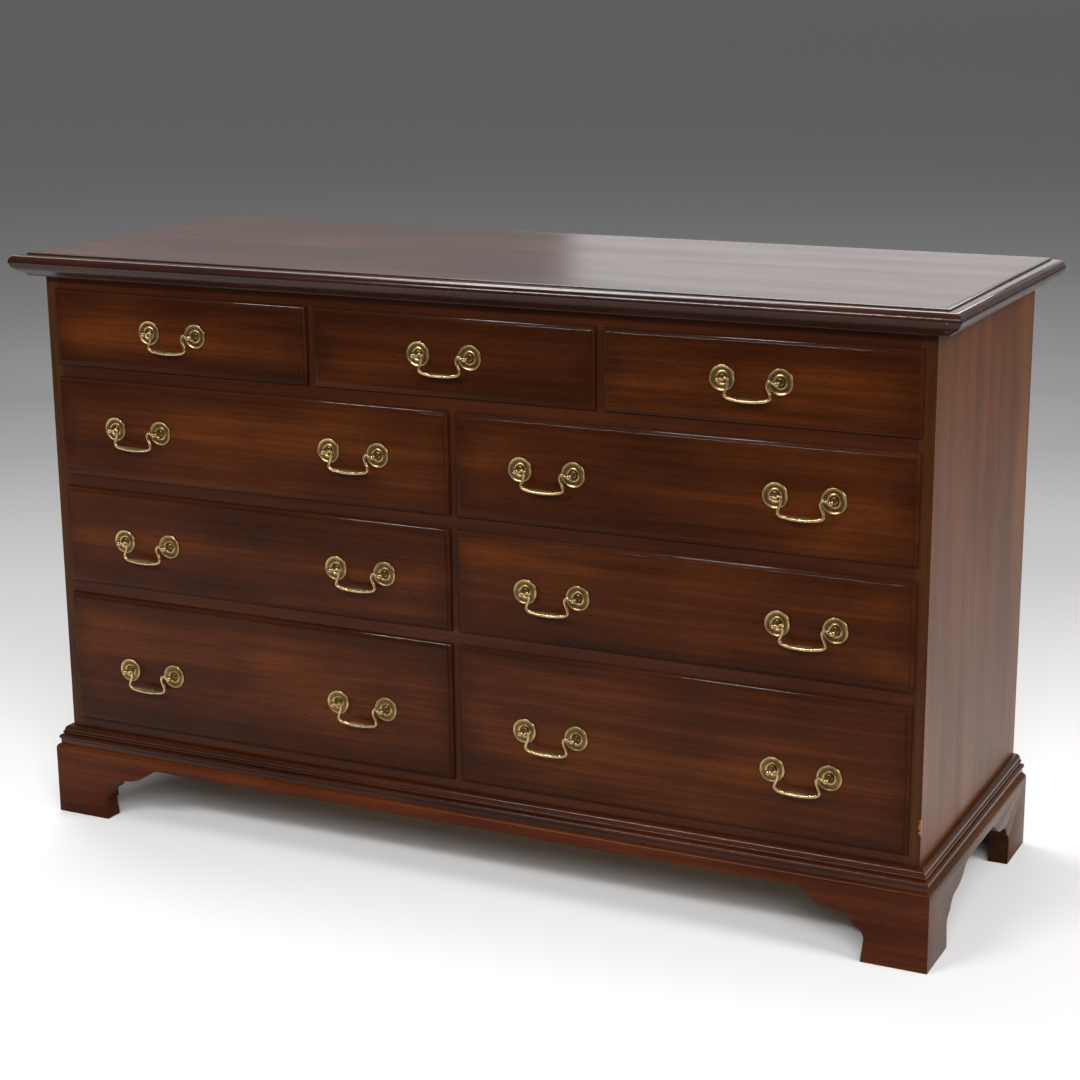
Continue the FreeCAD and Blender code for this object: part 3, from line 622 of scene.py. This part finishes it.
# the underside of the top's edge, as distance out from the case and height above its bottom:
# hollowed, up to an arris; the quarter round above it starts at NOSE_RISE, and the dark colour
# of the bed moulding, painted shade under the nose, carries on up to the last of these heights
NOSE_UNDERSIDE = [(30.0, 0.0), (32.0, 1.8), (33.9, 4.0), (35.4, 6.5), (36.4, 8.7), (36.85, 9.7)]
NOSE_RISE = 10.3
BED_SHADE_RISE = 9.0


def top_board():
    """The top: a rounded nose on the front and both ends, a narrow step up and a flat field."""
    low, high = node_box("top_board")
    half, front, back = high.x - TOP_OVERHANG, low.y + TOP_OVERHANG, high.y

    def at(out, level):
        def move(corner):
            y = back if corner.y > 0 else front - out
            return (math.copysign(half + out, corner.x), y, level)
        return move

    bm = bmesh.new()
    inside = bm.verts.layers.float.new("inside")
    underside = half + 24.0
    loop = outline(bm, [(-underside, half + front - underside, low.z),
                        (underside, half + front - underside, low.z),
                        (underside, back, low.z), (-underside, back, low.z)])
    closed(bm, loop)
    shelf, field_edge = high.z - 2.2, 16.2
    radius = shelf - low.z - NOSE_RISE
    profile = [(out, low.z + rise) for out, rise in NOSE_UNDERSIDE]
    profile += curve(TOP_OVERHANG - radius, low.z + NOSE_RISE, radius, 0, 90, 9)
    profile += [(17.4, shelf), (17.05, shelf + 0.3), (17.0, high.z - 0.7),
                (16.75, high.z - 0.2), (field_edge, high.z)]
    for out, level in profile:
        loop = carried_on(bm, loop, at(out, level))
    # faces low on the underside take the bed moulding's dark colour, painted shade under the nose
    for face in bm.faces:
        in_bed_shade = face.calc_center_median().z < (low.z + BED_SHADE_RISE) * MM
        face.material_index = 2 if in_bed_shade else 1
    flat_field(bm, loop, inside, (8.0, 24.0, 50.0), lambda depth: at(field_edge - depth, high.z))
    piece("moulded_top", bm, "case", [top_wood, nose_wood, bed_painted_shade_wood], ["top_board"],
          crease=28, tag=3.1)


def three_sided_moulding(name, node, profile, front_finish, tag):
    """A moulding mitred round the front and both sides; its closed profile is (out, level)
    corners."""
    bm = bmesh.new()
    loop = outline(bm, [(-(CASE_HALF + out), CASE_BACK, level) for out, level in profile])
    closed(bm, loop)
    # along the left side, across the front and back along the right side; the numbers pick the
    # finish of each stretch
    stations = (
        (lambda c: (c.x, CASE_FRONT + CASE_HALF + c.x, c.z), 1),
        (lambda c: (-c.x, c.y, c.z), 0),
        (lambda c: (c.x, CASE_BACK, c.z), 1),
    )
    for move, material in stations:
        before = set(bm.faces)
        loop = carried_on(bm, loop, move)
        for face in bm.faces:
            if face not in before:
                face.material_index = material
    closed(bm, loop)
    piece(name, bm, "case", [front_finish, moulding_side_wood], [node], crease=28,
          tag=tag)


def bed_moulding():
    """A flat strip with a slanting hollow above it, which leads on to the top's underside."""
    low, high = node_box("top_cove")
    profile = [(0.0, high.z), (0.0, low.z), (17.6, low.z), (18.0, low.z + 0.4), (18.2, low.z + 1.1)]
    profile += [(20.6, low.z + 3.0), (23.6, low.z + 5.1), (26.9, low.z + 7.2), (30.0, high.z)]
    # its front stretch takes the dark colour, painted shade under the top's overhang
    three_sided_moulding("bed_moulding", "top_cove", profile, bed_painted_shade_wood, 4.4)


def base_moulding():
    """A large bead, a small one and an ovolo, one above the other."""
    low, high = node_box("base_moulding")
    profile = [(0.0, low.z), (14.3, low.z), (14.5, low.z + 0.2), (14.5, low.z + 5.7)]
    profile += curve(13.0, low.z + 9.5, 3.6, -60, 90, 9)
    profile += [(10.7, low.z + 13.2), (10.3, low.z + 13.6)]
    profile += curve(10.2, high.z - 10.0, 2.1, -80, 80, 8)
    profile += [(10.1, high.z - 7.6)]
    profile += curve(3.2, high.z - 7.0, 7.0, 0, 90, 9)
    profile += [(0.0, high.z)]
    three_sided_moulding("beaded_base_moulding", "base_moulding", profile, moulding_wood, 5.2)


def arc(start, via, end, steps):
    """Corners along the circle through three points, without the first."""
    (ax, ay), (bx, by), (cx, cy) = start, via, end
    d = 2 * (ax * (by - cy) + bx * (cy - ay) + cx * (ay - by))
    a2, b2, c2 = ax * ax + ay * ay, bx * bx + by * by, cx * cx + cy * cy
    ux = (a2 * (by - cy) + b2 * (cy - ay) + c2 * (ay - by)) / d
    uy = (a2 * (cx - bx) + b2 * (ax - cx) + c2 * (bx - ax)) / d
    radius = math.hypot(ax - ux, ay - uy)
    first, middle, last = (math.atan2(q - uy, p - ux) for p, q in (start, via, end))
    sweep = (last - first) % (2 * math.pi)
    if (middle - first) % (2 * math.pi) > sweep:
        sweep -= 2 * math.pi
    turns = [first + sweep * i / steps for i in range(1, steps + 1)]
    return [(ux + radius * math.cos(t), uy + radius * math.sin(t)) for t in turns]


def bracket_scroll():
    """A bracket's edge from the foot's toe to the apron: distance from the corner, and height."""
    last = (84.5, 29.0)
    corners = [(88.0, 0.0), (86.2, 15.0), last]
    for via, end, steps in (((88.0, 41.3), (98.0, 47.0), 6), ((105.7, 58.6), (119.0, 64.5), 7),
                            ((140.5, 67.8), (157.0, 76.0), 6), ((168.0, 84.6), (178.0, 88.0), 6)):
        corners += arc(last, via, end, steps)
        last = end
    return corners


def scrolled_plinth(name, node, along, span, face, inward, mitres, material, tag):
    """A plinth board with scrolled feet. It runs along X (0) or Y (1) over span, with its outer
    side at face and its thickness inward; mitres says which of its ends are mitred."""
    def point(a, depth, level):
        across = face + inward * depth
        return (a, across, level) if along == 0 else (across, a, level)

    low, high = span
    crest = node_box(node)[1].z
    scroll = bracket_scroll()
    corners = [(low, 0.0)] + [(low + d, z) for d, z in scroll]
    corners += [(high - d, z) for d, z in reversed(scroll)]
    corners += [(high, 0.0), (high, crest), (low, crest)]
    bm = bmesh.new()
    outer = outline(bm, [point(a, 0.0, z) for a, z in corners])
    closed(bm, outer)

    def inner_corner(corner):
        a = corner[along]
        if mitres[0] and abs(a - low) < 0.01:
            a += PLINTH_THICKNESS
        if mitres[1] and abs(a - high) < 0.01:
            a -= PLINTH_THICKNESS
        return point(a, PLINTH_THICKNESS, corner.z)

    # the inner face takes the near-black second colour, painted shade under the chest
    for inner in closed(bm, carried_on(bm, outer, inner_corner)):
        inner.material_index = 1
    crown, arrises = [], []
    for edge in outer:
        ends = [vert.co / MM for vert in edge.verts]
        if min(e.z for e in ends) > crest - 0.1:
            crown.append(edge)
        elif max(e.z for e in ends) > 0.1 and all(low + 1 < e[along] < high - 1 for e in ends):
            arrises.append(edge)
    for edges, offset, segments in ((crown, 7.3, 7), (arrises, 0.8, 2)):
        bmesh.ops.bevel(bm, geom=edges, offset=offset * MM, segments=segments, affect="EDGES",
                        profile=0.5, material=-1)
    piece(name, bm, "case", [material, glue_block_painted_shade_wood], [node], crease=30,
          tag=tag)


# ------------------------------------------------------------------ assembly

DRAWERS = [body for body in frame["bodies"] if body.startswith("drawer_")]

for number, drawer in enumerate(DRAWERS):
    grain_tag = 11.3 + 2.7 * number
    lipped_front(drawer, grain_tag)
    drawer_box(drawer, grain_tag)
    pull_fittings(drawer)
    pivot = node_box(drawer + "_front")[0].y - PIVOT_STANDOFF
    place = drawer.removeprefix("drawer_")
    bails = sorted(body for body in frame["bodies"] if body.startswith("bail_" + place))
    for body, (x, z) in zip(bails, pull_places(drawer)):
        swan_neck_bail(body, x, z, pivot)

top_board()
bed_moulding()
base_moulding()
scrolled_plinth("front_plinth", "plinth_front", 0, (-PLINTH_HALF, PLINTH_HALF), PLINTH_FRONT, 1,
                (True, True), plinth_wood, 8.2)
for side, face, inward, tag in (("left", -PLINTH_HALF, 1, 9.1), ("right", PLINTH_HALF, -1, 10.4)):
    scrolled_plinth(side + "_plinth", "plinth_sides", 1, (PLINTH_FRONT, CASE_BACK), face, inward,
                    (True, False), plinth_side_wood, tag)

CASE_FINISHES = {
    "side_panel_left": side_wood,
    "side_panel_right": side_wood,
    # the rails and dividers take the darker colours, painted shade
    "bottom_rail": rail_painted_shade_wood,
    "middle_rails": rail_painted_shade_wood,
    "top_rail": rail_painted_shade_wood,
    "drawer_dividers": upright_painted_shade_wood,
    "back_panel": panel_wood,
    "back_rails": cross_wood,
    "partitions": drawer_side_wood,
    "drawer_runners": drawer_side_wood,
    "dust_panels": cross_wood,
    # near black, painted shade under the chest
    "foot_supports": glue_block_painted_shade_wood,
    "back_screws": zinc,
}
for node, finish in CASE_FINISHES.items():
    mesh = frame["nodes"][node].data
    mesh.materials.clear()
    mesh.materials.append(finish)


# ------------------------------------------------------------------ floor, light and camera

# the view's turn about the vertical, which the floor shares
SQUARE_ON = math.radians(26.07)

# metres: half the floor's side, and how far it lies below the feet so that the two don't coincide
FLOOR_HALF, FLOOR_DROP = 80.0, 0.0005

# the floor's paint over Y' / (Y' + FLOOR_FADE), where Y' is the depth behind the chest in metres
FLOOR_FADE = 3.0
FLOOR_TONES = [(0.0, "#f0f0f0"), (0.10, "#e8e8e8"), (0.22, "#d6d6d6"), (0.35, "#bcbcbc"),
               (0.46, "#a6a6a6"), (0.53, "#a3a3a3"), (0.60, "#bcbcbc"), (0.64, "#cccccc"),
               (0.78, "#cacaca"), (0.94, "#d8d8d8")]


def studio_floor():
    """A pale floor, turned square to the view. Its paint shades to grey behind the chest, and
    darker in front of it from 0.8 m to 1.7 m."""
    bm = bmesh.new()
    bmesh.ops.create_grid(bm, x_segments=1, y_segments=1, size=1.0)
    bmesh.ops.scale(bm, vec=(FLOOR_HALF, FLOOR_HALF, 1.0), verts=bm.verts)
    bmesh.ops.translate(bm, vec=(0.0, 0.0, -FLOOR_DROP), verts=bm.verts)
    bmesh.ops.rotate(bm, matrix=Matrix.Rotation(SQUARE_ON, 3, "Z"), verts=bm.verts)
    mesh = bpy.data.meshes.new("studio_floor")
    bm.to_mesh(mesh)
    bm.free()
    material, tree = fresh_material("painted_studio_floor")
    place = add(tree, "ShaderNodeTexCoord").outputs["Object"]
    turned = add(tree, "ShaderNodeMapping", Vector=place, Rotation=(0.0, 0.0, -SQUARE_ON))
    depth = add(tree, "ShaderNodeSeparateXYZ", Vector=turned).outputs["Y"]
    behind = add(tree, "ShaderNodeMath", {"operation": "MAXIMUM"}, in0=depth, in1=0.0)
    beyond = add(tree, "ShaderNodeMath", {"operation": "ADD"}, in0=behind, in1=FLOOR_FADE)
    far = add(tree, "ShaderNodeMath", {"operation": "DIVIDE"}, in0=behind, in1=beyond)
    paint = add(tree, "ShaderNodeValToRGB", {"stops": FLOOR_TONES}, Fac=far)
    ahead = add(tree, "ShaderNodeMath", {"operation": "MULTIPLY"}, in0=depth, in1=-0.2)
    shade = add(tree, "ShaderNodeValToRGB", {"stops": [(0.165, 1.0), (0.34, 0.2)]}, Fac=ahead)
    paint = add(tree, "ShaderNodeMix", DARKEN, in0=1.0, in6=paint, in7=shade)
    shader = add(tree, "ShaderNodeBsdfDiffuse", Color=paint, Roughness=0.5)
    add(tree, "ShaderNodeOutputMaterial", Surface=shader)
    mesh.materials.append(material)
    floor = bpy.data.objects.new("studio_floor", mesh)
    bpy.context.scene.collection.objects.link(floor)


def studio_world():
    """Soft grey light all round, weakest from the dark room in front."""
    world = bpy.data.worlds.new("studio_world")
    bpy.context.scene.world = world
    world.use_nodes = True
    tree = world.node_tree
    tree.nodes.clear()
    direction = add(tree, "ShaderNodeTexCoord").outputs["Generated"]
    parts = add(tree, "ShaderNodeSeparateXYZ", Vector=direction)
    behind = add(tree, "ShaderNodeMath", TIMES_PLUS, in0=parts.outputs["Y"], in1=0.5, in2=0.5)
    room = add(tree, "ShaderNodeValToRGB", {"stops": [(0.25, 0.10), (0.8, 0.27)]}, Fac=behind)
    background = add(tree, "ShaderNodeBackground", Color=room, Strength=1.0)
    add(tree, "ShaderNodeOutputWorld", Surface=background)


def softbox(name, place, aim, width, height, power, mirrored=True):
    """A rectangular lamp that the camera doesn't see; a polarised one isn't mirrored either."""
    light = bpy.data.lights.new(name, "AREA")
    light.shape = "RECTANGLE"
    light.size = width
    light.size_y = height
    light.energy = power
    lamp = bpy.data.objects.new(name, light)
    lamp.location = place
    lamp.rotation_euler = (Vector(aim) - Vector(place)).to_track_quat("-Z", "Y").to_euler()
    lamp.visible_camera = False
    lamp.visible_glossy = mirrored
    bpy.context.scene.collection.objects.link(lamp)


# millimetres, the tilt and roll of the view, and the sensor and focal length that set its angle
CAMERA_PLACE = Vector((1385.7, -2791.4, 1247.6))
CAMERA_DOWN = math.radians(14.63)
CAMERA_ROLL = math.radians(-0.49)
SENSOR_WIDTH, FOCAL_LENGTH = 36.0, 75.587


def camera():
    """A long lens off the chest's right front corner, a little above its top."""
    across, down, roll = SQUARE_ON, CAMERA_DOWN, CAMERA_ROLL
    back = Vector((math.sin(across) * math.cos(down), -math.cos(across) * math.cos(down),
                   math.sin(down)))
    right = Vector((math.cos(across), math.sin(across), 0.0))
    up = back.cross(right)
    turned_right = right * math.cos(roll) + up * math.sin(roll)
    turned_up = up * math.cos(roll) - right * math.sin(roll)
    lens = bpy.data.cameras.new("camera")
    lens.sensor_width = SENSOR_WIDTH
    lens.lens = FOCAL_LENGTH
    eye = bpy.data.objects.new("camera", lens)
    turn = Matrix((turned_right, turned_up, back)).transposed()
    eye.matrix_world = Matrix.Translation(CAMERA_PLACE * MM) @ turn.to_4x4()
    bpy.context.scene.collection.objects.link(eye)
    bpy.context.scene.camera = eye


studio_floor()
studio_world()
softbox("overhead_strip", (-0.85, 0.45, 3.0), (0.1, 0.0, 0.4), 1.2, 0.5, 40.0)
softbox("high_back_softbox", (-1.6, 2.5, 3.0), (0.0, 0.0, 0.6), 4.4, 1.0, 80.0)
softbox("low_back_softbox", (-0.42, 4.0, 1.45), (0.4, 0.0, 0.8), 2.6, 1.0, 7.0)
softbox("front_strip", (-0.75, -2.5, 2.2), (0.2, -0.25, 0.6), 1.3, 0.16, 34.0)
softbox("polarised_front_softbox", (1.9, -3.2, 2.5), (0.1, -0.2, 0.35), 2.0, 1.4, 76.0,
        mirrored=False)
softbox("side_softbox", (3.2, -0.7, 2.6), (0.65, 0.0, 0.7), 1.4, 1.2, 62.0)
camera()
bpy.context.scene.view_settings.view_transform = "Standard"
